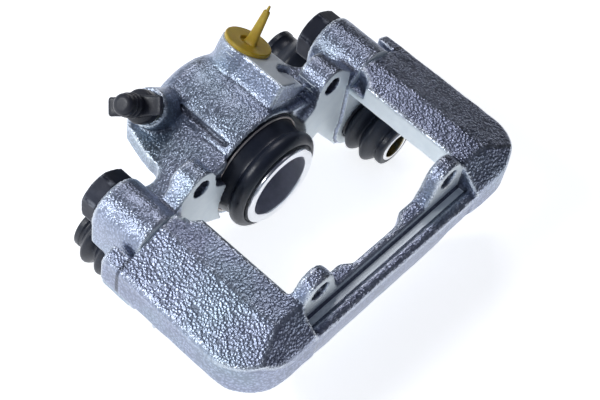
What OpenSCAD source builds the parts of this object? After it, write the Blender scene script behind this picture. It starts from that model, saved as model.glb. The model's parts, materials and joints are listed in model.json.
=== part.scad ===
// Floating brake caliper: a cylinder housing, a bolted bridge, one piston and two sliding guide sleeves.
// +X runs along the piston axis towards the outboard side, +Y across, +Z away from the wheel's centre.
// The origin is on the piston axis, in the plane of the housing's machined front face.

/* [Piston and cylinder] */
// Piston diameter
piston_d = 40; // [38:0.5:41]
// Piston length
piston_l = 47; // [44:1:48]
// How far the piston stands out of the machined front face
piston_reach = 10.9; // [9:0.1:13]
// Inner diameter of the piston's cup
cup_d = 31.4; // [28:0.2:33]
// Outer diameter of the cylinder barrel
barrel_d = 57; // [56:0.5:58]
// Distance from the front face to the barrel's closed end
barrel_l = 53; // [52:0.5:56]

/* [Bridge] */
// Width of the window that the disc and the pads run in
window_w = 101; // [99:0.5:102]
// Overall width of the bridge
bridge_w = 178; // [176:0.2:180]
// Height of the bridge's top face above the piston axis
bridge_top = 26.2; // [25:0.1:27]
// Distance from the front face to the outboard side of the bridge
bridge_reach = 77.4; // [76:0.2:80]
// Radius of the bridge's outboard corners
corner_r = 24; // [22:1:28]

/* [Pad pins] */
// Spacing of the two pad pin holes
pin_span = 80.8; // [80:0.2:82]
// Height of the pad pin holes above the piston axis
pin_z = 25.6; // [25:0.2:26]
// Diameter of the pad pin holes
pin_d = 9; // [8:0.5:10]

/* [Bridge bolts and guide sleeves] */
// Distance of the bolts and the sleeves from the piston axis, across
lug_y = 65.5; // [65:0.5:66]
// Height of the bridge bolts
bolt_z = 14; // [13:0.5:14.5]
// Thread diameter of the bridge bolts
bolt_d = 14; // [12:1:14]
// Width of the bolt heads across their flats
bolt_af = 22; // [20:1:22]
// Height of the guide sleeves, below the piston axis
sleeve_z = -17; // [-18:0.5:-16]
// Bore of the guide sleeves
sleeve_bore = 12; // [11:0.5:12]
// Length of the guide sleeves
sleeve_l = 78; // [77:0.5:79]
// How far the left sleeve stands further out than the right one
sleeve_shift = 15; // [12:1:16]

/* [Ports] */
// Diameter of the hose port's thread
hose_d = 10; // [10:1:12]
// Distance from the piston axis to the hose port's sealing face
hose_reach = 40.8; // [39.5:0.1:41.5]
// Distance from the piston axis to the bleed screw's boss face
bleed_reach = 42; // [41:0.5:43]

/* [Hidden] */
$fn = 96;

eps = 0.01;
LEFT = -1;
RIGHT = 1;
piston_r = piston_d / 2;
bore_r = piston_r + 0.05;
barrel_r = barrel_d / 2;
piston_back = piston_reach - piston_l;
bore_bottom = piston_back - 8;
barrel_front = -6;
boot_seat_r = 26.4;
boot_seat_x = -9.8;
joint_x = 1.5;
lug_back = -24.7;
lug_r = 13.5;
pin_y = pin_span / 2;
pin_r = pin_d / 2;
pin_boss_r = 8.6;
bolt_r = bolt_d / 2;
bolt_end = 31;
head_h = 8.8;
window_y = window_w / 2;
outer_y = bridge_w / 2;
sleeve_r = sleeve_bore / 2 + 2;
sleeve_front = 24.3;
housing_sleeve_r = sleeve_r + 0.05;
fold_r = 14.2;
sleeve_boss_r = 15.3;
sleeve_boss_back = -16;
hose_tilt = 30;
hose_x = -37.5;
hose_y = 4.5;
bleed_tilt = -45;
bleed_x = -43;
groove_tilt = 33.5;
groove_r = 1.4;
seat_x = 59.4;
machined_x = 67;
arm_bottom = -2;
pip_root = 1.5;
ring_x = -5.4;
ring_r = 25.3;
ring_wire_r = 0.45;

// ---- shared shapes ----

// Extrudes a Y,Z outline from x0 to x1
module slab_x(x0, x1) {
    translate([x0, 0, 0]) rotate([90, 0, 90]) linear_extrude(x1 - x0) children();
}

// Turns an outline of [radius, x] points about a line parallel to X
module turned_x(points, y = 0, z = 0) {
    translate([0, y, z]) rotate([0, 90, 0]) rotate_extrude() polygon(points);
}

// A straight rod parallel to X
module rod_x(r, x0, x1, y = 0, z = 0) {
    translate([x0, y, z]) rotate([0, 90, 0]) cylinder(r = r, h = x1 - x0);
}

// Stands its children on the hose port's axis, with +Z out of the port
module on_hose_axis() {
    rotate([-hose_tilt, 0, 0]) translate([hose_x, hose_y, 0]) children();
}

// Stands its children on the bleed screw's axis, with +Z out of the boss
module on_bleed_axis() {
    rotate([-bleed_tilt, 0, 0]) translate([bleed_x, 0, 0]) children();
}

// A hexagonal prism with its edges turned off at both ends
module hexagon(af, h) {
    r = af / sqrt(3);
    intersection() {
        cylinder(r = r, h = h, $fn = 6);
        rotate_extrude() polygon([[0, 0], [af / 2, 0], [r, 0.9], [r, h - 0.9], [af / 2, h], [0, h]]);
    }
}

// ---- cylinder housing ----

// The barrel, with a rounded closed end
module barrel() {
    round_r = 7;
    turned_x([
        [0, -barrel_l],
        for (a = [0 : 15 : 90])
            [barrel_r - round_r * (1 - sin(a)), -barrel_l + round_r * (1 - cos(a))],
        [barrel_r, barrel_front],
        [0, barrel_front]
    ]);
}

// One end lug: it holds a bridge bolt above and a guide sleeve below
module lug(side) {
    slab_x(lug_back, joint_x) translate([side * lug_y, 0]) {
        translate([0, bolt_z]) circle(lug_r);
        translate([-lug_r, -1]) square([2 * lug_r, bolt_z + 1]);
    }
    slab_x(sleeve_boss_back, joint_x) translate([side * lug_y, 0]) {
        translate([0, sleeve_z]) circle(sleeve_boss_r);
        translate([-lug_r, sleeve_z]) square([2 * lug_r, bolt_z - sleeve_z]);
    }
}

// The machined front plate that joins the barrel, a pad pin boss and a lug
module front_plate(side) {
    slab_x(-9, 0) scale([side, 1]) polygon([
        [22, 12], [30.5, 18], [32.4, 29], [37, 33.4], [44, 33.4], [51, 27.6], [56, 22],
        [56, -24], [53, -29], [36, -4], [24, -12]
    ]);
}

// The rear web between the barrel and a lug, with a round notch in its back edge
module web(side, gusset_x, gusset_y) {
    difference() {
        union() {
            translate([0, 0, 8]) linear_extrude(14) scale([1, side]) polygon([
                [gusset_x, 12], [gusset_x, gusset_y - 4], [gusset_x + 4, gusset_y],
                [gusset_x + 16, 39.8], [-24, 42], [-20, 12]
            ]);
            translate([0, 0, -6]) linear_extrude(28) scale([1, side]) polygon([
                [-22, 20], [-24, 42], [-21, 56], [-4, 56], [-4, 20]
            ]);
        }
        translate([-27.5, side * 47.2, -10]) cylinder(r = 6.4, h = 40);
        rotate([side * -12, 0, 0]) translate([-60, -80, 25.2]) cube([60, 160, 12]);
    }
}

// The block that carries the hose port, with a step for the hose's anti-turn finger
module hose_block() {
    block_w = 20;
    rotate([-hose_tilt, 0, 0]) difference() {
        union() {
            translate([hose_x, hose_y, 12]) cylinder(r = block_w / 2 + 1.6, h = hose_reach - 12);
            translate([hose_x, hose_y - block_w / 2, 12]) cube([29, block_w, hose_reach - 12]);
        }
        translate([-8.5, -20, 32]) rotate([0, 25, 0]) cube([20, 50, 20]);
        translate([-15.5, hose_y + 4.5, hose_reach - 3.2]) cylinder(r = 5.5, h = 10);
        translate([-15.5, hose_y + 4.5, hose_reach - 3.2]) rotate([0, 0, 25]) translate([0, -5.5, 0]) cube([20, 11, 10]);
    }
}

module bleed_boss() {
    on_bleed_axis() translate([0, 0, 16]) cylinder(r1 = 10.5, r2 = 8.8, h = bleed_reach - 16);
}

module cylinder_housing() {
    color([0.62, 0.62, 0.68]) difference() {
        union() {
            barrel();
            lug(LEFT);
            lug(RIGHT);
            front_plate(LEFT);
            front_plate(RIGHT);
            web(LEFT, -52, 36.5);
            web(RIGHT, -44, 33);
            rod_x(pin_boss_r, -11, 0, -pin_y, pin_z);
            rod_x(pin_boss_r, -14, 0, pin_y, pin_z);
            hose_block();
            bleed_boss();
        }
        // cylinder bore, seal groove and boot seat
        turned_x([
            [0, bore_bottom], [bore_r - 2, bore_bottom], [bore_r, bore_bottom + 2],
            [bore_r, -18.2], [bore_r + 3, -18.2], [bore_r + 3, -14.6], [bore_r, -14.6],
            [bore_r, boot_seat_x], [boot_seat_r, boot_seat_x], [boot_seat_r, barrel_front - 1],
            [boot_seat_r + 0.8, barrel_front], [boot_seat_r + 0.8, 1], [0, 1]
        ]);
        // cast groove along the barrel
        rotate([groove_tilt, 0, 0]) rod_x(groove_r, -barrel_l - 1, -10, 0, barrel_r + 0.2);
        for (side = [LEFT, RIGHT]) {
            rod_x(pin_r, -20, 1, side * pin_y, pin_z);
            rod_x(bolt_r + 0.2, lug_back - 1, joint_x + 1, side * lug_y, bolt_z);
            // sleeve bore with a groove for its guide ring and a seat for a bellows at each end
            turned_x([
                [0, sleeve_boss_back - 1], [11, sleeve_boss_back - 1], [11, sleeve_boss_back + 3],
                [housing_sleeve_r, sleeve_boss_back + 3], [housing_sleeve_r, -9.5],
                [housing_sleeve_r + 1.8, -9.5], [housing_sleeve_r + 1.8, -5.5], [housing_sleeve_r, -5.5],
                [housing_sleeve_r, joint_x - 3], [11, joint_x - 3], [11, joint_x + 1], [0, joint_x + 1]
            ], side * lug_y, sleeve_z);
        }
        // hose port: spot face, thread and the drilling into the bore
        on_hose_axis() {
            translate([0, 0, hose_reach - 14]) cylinder(d = hose_d, h = 20);
            translate([0, 0, hose_reach - 3]) cylinder(r = hose_d / 2 + 1.6, h = 10);
            translate([0, 0, 10]) cylinder(r = 1.8, h = 30);
        }
        // bleed port
        on_bleed_axis() {
            translate([0, 0, bleed_reach - 14]) cylinder(r = 5, h = 20);
            translate([0, 0, 12]) cylinder(r = 1.6, h = 30);
        }
    }
}

// ---- bridge ----

// Plan outline of the bridge, without its window
module bridge_outline() {
    x1 = bridge_reach - corner_r;
    translate([joint_x, -outer_y]) square([x1 - joint_x, bridge_w]);
    translate([x1, -outer_y + corner_r]) square([corner_r, bridge_w - 2 * corner_r]);
    for (side = [LEFT, RIGHT]) translate([x1, side * (outer_y - corner_r)]) circle(corner_r);
    // wings that reach back past the lugs
    for (side = [LEFT, RIGHT]) translate([-8, side * (outer_y - 4) - 4]) square([12, 8]);
}

// The sloping upper faces, as a roof over the bridge
module bridge_roof() {
    slab_x(-10, bridge_reach) polygon([
        [-outer_y + 2, arm_bottom], [-outer_y, arm_bottom + 3], [-outer_y, 14], [-outer_y + 1.2, 16],
        [-65, bridge_top], [65, bridge_top],
        [outer_y - 1.2, 16], [outer_y, 14], [outer_y, arm_bottom + 3], [outer_y - 2, arm_bottom]
    ]);
}

// One ear: it carries the outboard end of a pad pin
module ear(side) {
    slab_x(seat_x, machined_x) translate([side * pin_y, 0]) scale([side, 1]) {
        translate([0, pin_z]) circle(pin_boss_r);
        polygon([[-12.5, 2], [-12.5, 17], [-10.6, 20], [-7.6, 29.6], [7.9, 29], [11.5, 24], [11.5, 2]]);
    }
}

// The outboard bar: pad seat below, milled channel and a cast lip above
module outboard_bar() {
    half = window_y + 1.5;
    difference() {
        bar_profile(half);
        // shallow recess in the middle of the pad side
        translate([0, 0, 3]) linear_extrude(20) polygon([
            [seat_x - 1, -19], [seat_x, -19], [63.2, -14.5], [63.2, 14.5], [seat_x, 19], [seat_x - 1, 19]
        ]);
    }
    outboard_leg();
}

module bar_profile(half) {
    translate([0, half, 0]) rotate([90, 0, 0]) linear_extrude(2 * half) polygon([
        [seat_x, -6], [seat_x, 14.6], [seat_x + 1, 15.6], [machined_x, 15.6],
        [machined_x, 12.5], [72, 12.5], [72.6, 14.4], [bridge_reach - 1.6, 14.4],
        [bridge_reach, 12.6], [75.5, -2], [74, -6]
    ]);
}

// The leg that presses the outboard pad
module outboard_leg() {
    intersection() {
        translate([0, 50, 0]) rotate([90, 0, 0]) linear_extrude(100) polygon([
            [seat_x, -24], [seat_x, 0], [75.5, 0], [70.5, -22.5], [69, -24]
        ]);
        slab_x(seat_x - 1, bridge_reach) {
            translate([-44, -14]) square([88, 20]);
            translate([-34, -24]) square([68, 20]);
            for (side = [LEFT, RIGHT]) translate([side * 34, -14]) circle(10);
        }
    }
}

// A cast pip that hangs under the left arm, set in from the arm's side
module arm_pip(x, inset, r, drop) {
    translate([x, inset - outer_y, arm_bottom - drop]) cylinder(r = r, h = drop + pip_root);
}

module bridge_yoke() {
    color([0.6, 0.6, 0.66]) difference() {
        union() {
            difference() {
                intersection() {
                    translate([0, 0, -5]) linear_extrude(50) bridge_outline();
                    bridge_roof();
                    // the outboard side slopes down past the crease
                    translate([0, outer_y + 1, 0]) rotate([90, 0, 0]) linear_extrude(bridge_w + 2) polygon([
                        [-10, arm_bottom], [-10, bridge_top], [66, bridge_top], [bridge_reach - 1, 16],
                        [bridge_reach, 14], [bridge_reach, 1], [bridge_reach - 2, arm_bottom]
                    ]);
                }
                // window, and the space that the outboard bar fills
                translate([-20, -window_y, -10]) cube([100, window_w, 50]);
                // arch over the disc's rim
                rod_x(185, joint_x - 20, 57, 0, -164.3);
                for (side = [LEFT, RIGHT]) {
                    // round scoop beside a pad pin boss
                    translate([joint_x, side * 47, 18]) cylinder(r = 9.5, h = 30);
                    // clearance around the housing's lug
                    translate([-12, side * lug_y - (side > 0 ? 20 : 14.1), -10]) cube([12 + joint_x, 34.1, 50]);
                }
            }
            // thick roots around the bolts
            for (side = [LEFT, RIGHT]) intersection() {
                turned_x([
                    [0, joint_x], [11.8, joint_x], [11.8, bolt_end + 2], [6, bolt_end + 9], [0, bolt_end + 9]
                ], side * lug_y, bolt_z);
                translate([0, 0, -20]) cube([200, 400, 2 * (bridge_top - 0.5)], center = true);
            }
            arm_pip(10, 3, 2.2, 1.4);
            arm_pip(21.5, 2.6, 1.3, 3.6);
            outboard_bar();
            ear(LEFT);
            ear(RIGHT);
        }
        for (side = [LEFT, RIGHT]) {
            rod_x(bolt_r, joint_x - 1, bolt_end + 2, side * lug_y, bolt_z);
            rod_x(pin_r, seat_x - 5, machined_x + 20, side * pin_y, pin_z);
        }
    }
}

// ---- bridge bolts ----

module bridge_bolt(side) {
    color([0.16, 0.18, 0.24]) translate([0, side * lug_y, bolt_z]) {
        translate([lug_back, 0, 0]) rotate([0, -90, 0]) hexagon(bolt_af, head_h);
        turned_x([
            [0, lug_back - eps], [bolt_r - 0.05, lug_back - eps],
            [bolt_r - 0.05, bolt_end - 1.5], [bolt_r - 1.5, bolt_end], [0, bolt_end]
        ]);
    }
}

// ---- piston and its rubber ----

module piston() {
    cup_r = cup_d / 2;
    cup_floor = piston_back + 12;
    color([0.82, 0.83, 0.86]) turned_x([
        [0, piston_back], [piston_r - 2, piston_back], [piston_r, piston_back + 2],
        [piston_r, 4.2], [piston_r - 1.6, 4.8], [piston_r - 1.6, 8], [piston_r, 8.6],
        [piston_r, piston_reach - 0.5], [piston_r - 0.5, piston_reach],
        [cup_r + 0.5, piston_reach], [cup_r, piston_reach - 0.5],
        [cup_r, cup_floor + 3], [cup_r - 3, cup_floor], [0, cup_floor]
    ]);
}

module piston_seal() {
    color([0.08, 0.08, 0.09]) turned_x([
        [piston_r + 0.02, -18], [bore_r + 2.8, -18], [bore_r + 2.8, -14.8], [piston_r + 0.02, -14.8]
    ]);
}

// The dust boot: a flange in the housing, a waist, a round bulge and a lip in the piston's groove
module piston_boot() {
    bulge_r = 3.8;
    bulge_x = 5.4;
    bulge_c = 21.2;
    color([0.09, 0.1, 0.13]) turned_x([
        [21.4, -9.5], [26.1, -9.5], [26.1, -6.7], [24.7, -6.2], [24.4, -4.5], [23.8, -1.5], [23.2, 1],
        for (a = [-40 : 16 : 88]) [bulge_c + bulge_r * cos(a), bulge_x + bulge_r * sin(a)],
        [piston_r + 0.3, 8.5], [piston_r - 1.4, 7.8], [piston_r - 1.5, 7.4], [piston_r - 1.5, 5.4], [piston_r + 0.3, 5],
        [20.8, 3], [21.4, -1]
    ]);
}

// Wire ring that holds the boot's flange in its seat
module boot_retaining_ring() {
    color([0.8, 0.8, 0.82]) translate([ring_x, 0, 0]) rotate([0, 90, 0]) rotate_extrude()
        translate([ring_r, 0]) circle(ring_wire_r, $fn = 24);
}

// ---- guide sleeves and bellows ----

// How far outboard a side's sleeve stands
function sleeve_out(side) = side == LEFT ? sleeve_shift : 0;

module guide_sleeve(side) {
    front = sleeve_front + sleeve_out(side);
    back = front - sleeve_l;
    inner = sleeve_bore / 2;
    neck = sleeve_r - 1;
    color([0.75, 0.75, 0.74]) turned_x([
        [inner, back], [sleeve_r - 0.4, back], [sleeve_r, back + 0.4], [sleeve_r, back + 1.8],
        [neck, back + 2.2], [neck, back + 4], [sleeve_r, back + 4.4],
        [sleeve_r, front - 4.4], [neck, front - 4], [neck, front - 2.2],
        [sleeve_r, front - 1.8], [sleeve_r, front - 0.4], [sleeve_r - 0.4, front], [inner, front]
    ], side * lug_y, sleeve_z);
}

module guide_ring(side) {
    color([0.1, 0.1, 0.1]) turned_x([
        [sleeve_r + 0.02, -9.3], [housing_sleeve_r + 1.6, -9.3],
        [housing_sleeve_r + 1.6, -5.7], [sleeve_r + 0.02, -5.7]
    ], side * lug_y, sleeve_z);
}

// A rubber bellows from the housing at x0 to the sleeve's end at x1: a foot, two folds and a collar
module bellows(side, x0, x1) {
    d = x1 > x0 ? 1 : -1;
    l = abs(x1 - x0);
    root_r = 10;
    fold_w = (l - 0.6) * 0.39;
    color([0.07, 0.08, 0.1]) turned_x([
        [sleeve_r + 0.3, x0 - d * 2.4], [10.8, x0 - d * 2.4], [10.8, x0],
        for (fold = [0, 1], k = [0 : 8])
            [root_r + (fold_r - root_r) * sin(k * 22.5) ^ 2, x0 + d * (0.6 + (fold + k / 8) * fold_w)],
        [10.6, x1 - d * 3.4], [10.6, x1 - d * 0.9], [9.6, x1 - d * 0.3], [sleeve_r + 0.1, x1 - d * 0.3],
        [sleeve_r + 0.1, x1 - d * 2], [sleeve_r - 0.8, x1 - d * 2.4], [sleeve_r - 0.8, x1 - d * 3.8],
        [sleeve_r + 0.3, x1 - d * 4.6]
    ], side * lug_y, sleeve_z);
}

module front_bellows(side) {
    bellows(side, joint_x, sleeve_front + sleeve_out(side));
}

module rear_bellows(side) {
    bellows(side, sleeve_boss_back, sleeve_front + sleeve_out(side) - sleeve_l);
}

// ---- bleed screw, its cap and the hose port's plug ----

module bleed_screw() {
    color([0.6, 0.58, 0.5]) on_bleed_axis() {
        difference() {
            union() {
                translate([0, 0, bleed_reach - 12]) cylinder(r = 4.9, h = 14);
                translate([0, 0, bleed_reach - 13.8]) cylinder(r1 = 3, r2 = 4.9, h = 1.8 + eps);
                translate([0, 0, bleed_reach + 2]) hexagon(10, 5);
                translate([0, 0, bleed_reach + 7 - eps]) cylinder(r = 2.6, h = 4);
                translate([0, 0, bleed_reach + 11 - 2 * eps]) cylinder(r = 3.4, h = 2.2);
                translate([0, 0, bleed_reach + 13.2 - 3 * eps]) cylinder(r1 = 3.4, r2 = 2.6, h = 3);
            }
            translate([0, 0, bleed_reach - 8]) cylinder(r = 1.2, h = 30);
        }
    }
}

module bleed_cap() {
    top = bleed_reach + 22.5;
    color([0.07, 0.08, 0.1]) on_bleed_axis() rotate_extrude() polygon([
        [0, top], [3.2, top - 0.15], [4.3, top - 0.8], [4.75, top - 2], [4.75, top - 4], [5.2, top - 4.4],
        [5.2, top - 5.2], [4.75, top - 5.6], [4.75, top - 7], [5.4, top - 7.4], [5.4, top - 8.4],
        [4.8, top - 8.8], [4.8, bleed_reach + 8.6], [6.9, bleed_reach + 8], [7.5, bleed_reach + 7.2],
        [7.5, bleed_reach + 3], [7.1, bleed_reach + 2.6], [6.1, bleed_reach + 2.6],
        [6.1, bleed_reach + 7.2], [3.5, bleed_reach + 7.6], [3.5, bleed_reach + 17], [0, bleed_reach + 17]
    ]);
}

// Two rubber wings that carry the cap's pull strap
module bleed_cap_strap() {
    strap_z = bleed_reach + 8.7;
    strap_l = 25;
    strap_w = 8.8;
    color([0.07, 0.08, 0.1]) on_bleed_axis() difference() {
        rotate([0, 0, 38]) translate([0, 0, strap_z]) union() {
            translate([-strap_l / 2, -strap_w / 2, 0]) cube([strap_l, strap_w, 2.6]);
            cylinder(r = 6.6, h = 2.6);
            for (end = [-1, 1]) translate([end * (strap_l / 2 - 1) - 1, -strap_w / 2 - 0.4, 0])
                cube([2, strap_w + 0.8, 3.2]);
        }
        translate([0, 0, strap_z - 1]) cylinder(r = 4.9, h = 10);
    }
}

// The plastic plug that closes the hose port: a disc, a tapered stem and a spigot
module transport_plug() {
    color([0.82, 0.66, 0.14]) on_hose_axis() translate([0, 0, hose_reach + 0.05]) {
        difference() {
            cylinder(r = 11, h = 2);
            translate([-3.6, 0, 1]) cylinder(r = 1.2, h = 3);
        }
        translate([0, 0, -2.6]) cylinder(r = hose_d / 2 + 1.4, h = 2.6 + eps);
        translate([0, 0, 2 - eps]) cylinder(r1 = 3, r2 = 1.6, h = 16);
        translate([0, 0, 17]) cylinder(r = 0.9, h = 4);
    }
}

cylinder_housing();
bridge_yoke();
bridge_bolt(LEFT);  // bridge_bolt_left
bridge_bolt(RIGHT);  // bridge_bolt_right
piston();
piston_seal();
piston_boot();
boot_retaining_ring();
guide_sleeve(LEFT);  // guide_sleeve_left
guide_sleeve(RIGHT);  // guide_sleeve_right
guide_ring(LEFT);  // guide_ring_left
guide_ring(RIGHT);  // guide_ring_right
front_bellows(LEFT);  // front_bellows_left
front_bellows(RIGHT);  // front_bellows_right
rear_bellows(LEFT);  // rear_bellows_left
rear_bellows(RIGHT);  // rear_bellows_right
bleed_screw();
bleed_cap();
bleed_cap_strap();
transport_plug();
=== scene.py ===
import json

import bmesh
import bpy
import numpy as np
from mathutils import Matrix, Vector


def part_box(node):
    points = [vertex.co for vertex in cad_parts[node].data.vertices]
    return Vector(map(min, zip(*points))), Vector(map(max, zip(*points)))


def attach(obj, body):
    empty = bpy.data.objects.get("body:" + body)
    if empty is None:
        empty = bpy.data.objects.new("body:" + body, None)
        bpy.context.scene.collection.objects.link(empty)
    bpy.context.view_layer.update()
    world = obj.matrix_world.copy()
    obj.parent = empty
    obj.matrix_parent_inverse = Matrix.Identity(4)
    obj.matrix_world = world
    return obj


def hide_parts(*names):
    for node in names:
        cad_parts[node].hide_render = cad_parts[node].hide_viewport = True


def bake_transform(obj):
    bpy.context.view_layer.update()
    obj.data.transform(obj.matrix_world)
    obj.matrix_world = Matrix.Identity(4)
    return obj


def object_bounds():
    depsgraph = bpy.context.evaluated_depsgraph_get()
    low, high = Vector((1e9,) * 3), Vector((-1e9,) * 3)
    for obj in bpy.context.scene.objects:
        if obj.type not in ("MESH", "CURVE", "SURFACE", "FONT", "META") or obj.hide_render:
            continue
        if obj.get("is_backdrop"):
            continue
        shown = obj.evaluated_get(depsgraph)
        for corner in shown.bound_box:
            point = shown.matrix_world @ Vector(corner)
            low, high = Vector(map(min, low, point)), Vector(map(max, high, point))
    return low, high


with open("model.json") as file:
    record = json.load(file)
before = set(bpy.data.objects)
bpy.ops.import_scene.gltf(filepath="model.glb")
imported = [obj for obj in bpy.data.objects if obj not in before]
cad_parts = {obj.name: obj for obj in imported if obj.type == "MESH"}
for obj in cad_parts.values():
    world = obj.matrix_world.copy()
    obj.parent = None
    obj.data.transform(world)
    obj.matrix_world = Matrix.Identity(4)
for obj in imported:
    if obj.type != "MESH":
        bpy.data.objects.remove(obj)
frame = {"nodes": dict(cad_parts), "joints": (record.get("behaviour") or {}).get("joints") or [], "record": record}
cad_low, cad_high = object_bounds()
MM = 0.001
put = bpy.context.scene.collection.objects.link

# ------------------------------------------------------------------
# Studio: the caliper lies on a pale glowing table, under a soft lamp in front on the left and a
# weaker one behind. The room is pale in front and dim behind, with a dark card beyond the right
# arm that only reflections see.
# ------------------------------------------------------------------

camera = bpy.data.objects.new("camera", bpy.data.cameras.new("camera"))
camera.data.lens = 95.19
camera.data.sensor_width = 36
camera.data.clip_start = 0.01
camera.data.clip_end = 20
right = Vector((0.7268, 0.6766, 0.1188))
down = Vector((0.6108, -0.5574, -0.5623))
ahead = Vector((-0.3143, 0.4812, -0.8183))
camera.matrix_world = Matrix.Translation((0.2366, -0.3288, 0.5608)) @ Matrix(
    (right, -down, -ahead)).transposed().to_4x4()
put(camera)
bpy.context.scene.camera = camera
bpy.context.scene.view_settings.view_transform = "Standard"


def add(tree, kind, sockets=(), **settings):
    """Adds a shader node. Sockets are set to a number or colour, or joined to another node's output."""
    node = tree.nodes.new("ShaderNode" + kind)
    for name, value in settings.items():
        setattr(node, name, value)
    for name, value in dict(sockets).items():
        if isinstance(value, bpy.types.NodeSocket):
            tree.links.new(value, node.inputs[name])
        else:
            node.inputs[name].default_value = value
    return node


def lamp(name, place, aim, size, watts, tint):
    light = bpy.data.objects.new(name, bpy.data.lights.new(name, "AREA"))
    light.data.shape = "RECTANGLE"
    light.data.size, light.data.size_y = size
    light.data.energy = watts
    light.data.color = tint
    light.location = place
    light.rotation_euler = (Vector(aim) - Vector(place)).to_track_quat("-Z", "Y").to_euler()
    put(light)


lamp("key_lamp", (-0.42, -0.70, 0.70), (0, 0, 0), (0.32, 0.32), 3.9, (0.96, 0.98, 1.0))
lamp("back_lamp", (-0.45, 0.45, 0.75), (0, 0, 0), (0.30, 0.30), 1.5, (0.98, 0.96, 1.0))

world = bpy.data.worlds.new("tent")
bpy.context.scene.world = world
world.use_nodes = True
sky = world.node_tree
sky.nodes.clear()
where = add(sky, "SeparateXYZ", {0: add(sky, "TexCoord").outputs["Generated"]})
height = add(sky, "MapRange", {"Value": where.outputs["Z"], "From Min": -0.1, "From Max": 0.75})
away_from_front = add(sky, "VectorMath", {0: add(sky, "TexCoord").outputs["Generated"], 1: (0.6, 0.8, 0.0)},
                      operation="DOT_PRODUCT")
depth = add(sky, "MapRange", {"Value": away_from_front.outputs["Value"], "From Min": -0.5, "From Max": 0.5})
side_tint = add(sky, "Mix", {0: depth.outputs[0], 6: (0.76, 0.83, 0.95, 1), 7: (0.03, 0.03, 0.04, 1)},
                data_type="RGBA")
tent_tint = add(sky, "Mix", {0: height.outputs[0], 6: side_tint.outputs[2], 7: (0.060, 0.066, 0.092, 1)},
                data_type="RGBA")
light_out = add(sky, "Background", {"Color": tent_tint.outputs[2], "Strength": 1.25})
add(sky, "OutputWorld", {"Surface": light_out.outputs[0]})



def matt_paint(name, first, second, scale, glow=0.0):
    """A matt skin whose colour wanders between first and second, with a glow of its own."""
    material = bpy.data.materials.new(name)
    material.use_nodes = True
    tree = material.node_tree
    tree.nodes.clear()
    grain = add(tree, "TexNoise", {"Vector": add(tree, "TexCoord").outputs["Object"], "Scale": scale, "Detail": 4.0})
    tint = add(tree, "Mix", {0: grain.outputs[0], 6: first, 7: second}, data_type="RGBA")
    skin = add(tree, "BsdfDiffuse", {"Color": tint.outputs[2]})
    if glow:
        light = add(tree, "Emission", {"Color": (0.98, 0.99, 1.0, 1), "Strength": glow})
        skin = add(tree, "AddShader", {0: skin.outputs[0], 1: light.outputs[0]})
    add(tree, "OutputMaterial", {"Surface": skin.outputs[0]})
    return material


def staged(name, points, faces, material):
    """A thing in the studio that isn't part of the caliper."""
    mesh = bpy.data.meshes.new(name)
    mesh.from_pydata(points, [], faces)
    mesh.materials.append(material)
    thing = bpy.data.objects.new(name, mesh)
    put(thing)
    thing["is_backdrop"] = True
    return thing


paper = matt_paint("white_paper", (0.90, 0.905, 0.91, 1), (0.93, 0.93, 0.935, 1), 40.0, glow=0.80)
felt = matt_paint("black_felt", (0.010, 0.011, 0.014, 1), (0.022, 0.020, 0.022, 1), 60.0)
reach, table_z = 3.0, cad_low.z - 0.0004
staged("table", [(-reach, -reach, table_z), (reach, -reach, table_z), (reach, reach, table_z),
                 (-reach, reach, table_z)], [(0, 1, 2, 3)], paper)
card_y, card_top = 0.37, 0.34
card = staged("dark_card", [(-0.55, card_y, table_z), (0.40, card_y, table_z), (0.40, card_y, card_top),
                            (-0.55, card_y, card_top)], [(0, 1, 2, 3)], felt)
card.visible_camera = False

# A pale paper wall stands all round the table. It only closes the view: it sends and takes no light.
panels, wall_r, wall_top = 64, 2.9, 3.2
turn = np.linspace(0, 2 * np.pi, panels, endpoint=False)
ring = np.stack([wall_r * np.cos(turn), wall_r * np.sin(turn)], 1)
paper_wall = staged("paper_wall", [(x, y, z) for z in (table_z - 0.01, wall_top) for x, y in ring],
                    [(i, (i + 1) % panels, panels + (i + 1) % panels, panels + i) for i in range(panels)], paper)
for ray in ("diffuse", "glossy", "transmission", "shadow"):
    setattr(paper_wall, "visible_" + ray, False)

# ------------------------------------------------------------------
# Cylinder housing: a sand casting in grey iron, zinc plated after the bores, the pin boss faces
# and the hose seat were machined. Every cast edge has a radius and every inside corner a fillet.
# ------------------------------------------------------------------


def evened(node, grid):
    """A CAD node's closed surface, joined at its shared corners and cut into even squares of side grid.
    Returns its points and its four-cornered faces."""
    joined = bmesh.new()
    joined.from_mesh(frame["nodes"][node].data)
    bmesh.ops.remove_doubles(joined, verts=joined.verts, dist=2e-6)
    blank = bpy.data.meshes.new("blank")
    joined.to_mesh(blank)
    joined.free()
    carrier = bpy.data.objects.new("blank", blank)
    put(carrier)
    squares = carrier.modifiers.new("squares", "REMESH")
    squares.mode = "VOXEL"
    squares.voxel_size = grid
    even = carrier.evaluated_get(bpy.context.evaluated_depsgraph_get()).to_mesh()
    points = np.empty(len(even.vertices) * 3)
    even.vertices.foreach_get("co", points)
    corners = np.empty(len(even.loops), int)
    even.loops.foreach_get("vertex_index", corners)
    bpy.data.objects.remove(carrier)
    bpy.data.meshes.remove(blank)
    return points.reshape(-1, 3), corners.reshape(-1, 4)


def sides_of(faces):
    """Every side of every four-cornered face once, as pairs of point numbers."""
    pairs = np.concatenate([faces[:, [0, 1]], faces[:, [1, 2]], faces[:, [2, 3]], faces[:, [3, 0]]])
    return np.unique(np.sort(pairs, axis=1), axis=0)


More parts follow.
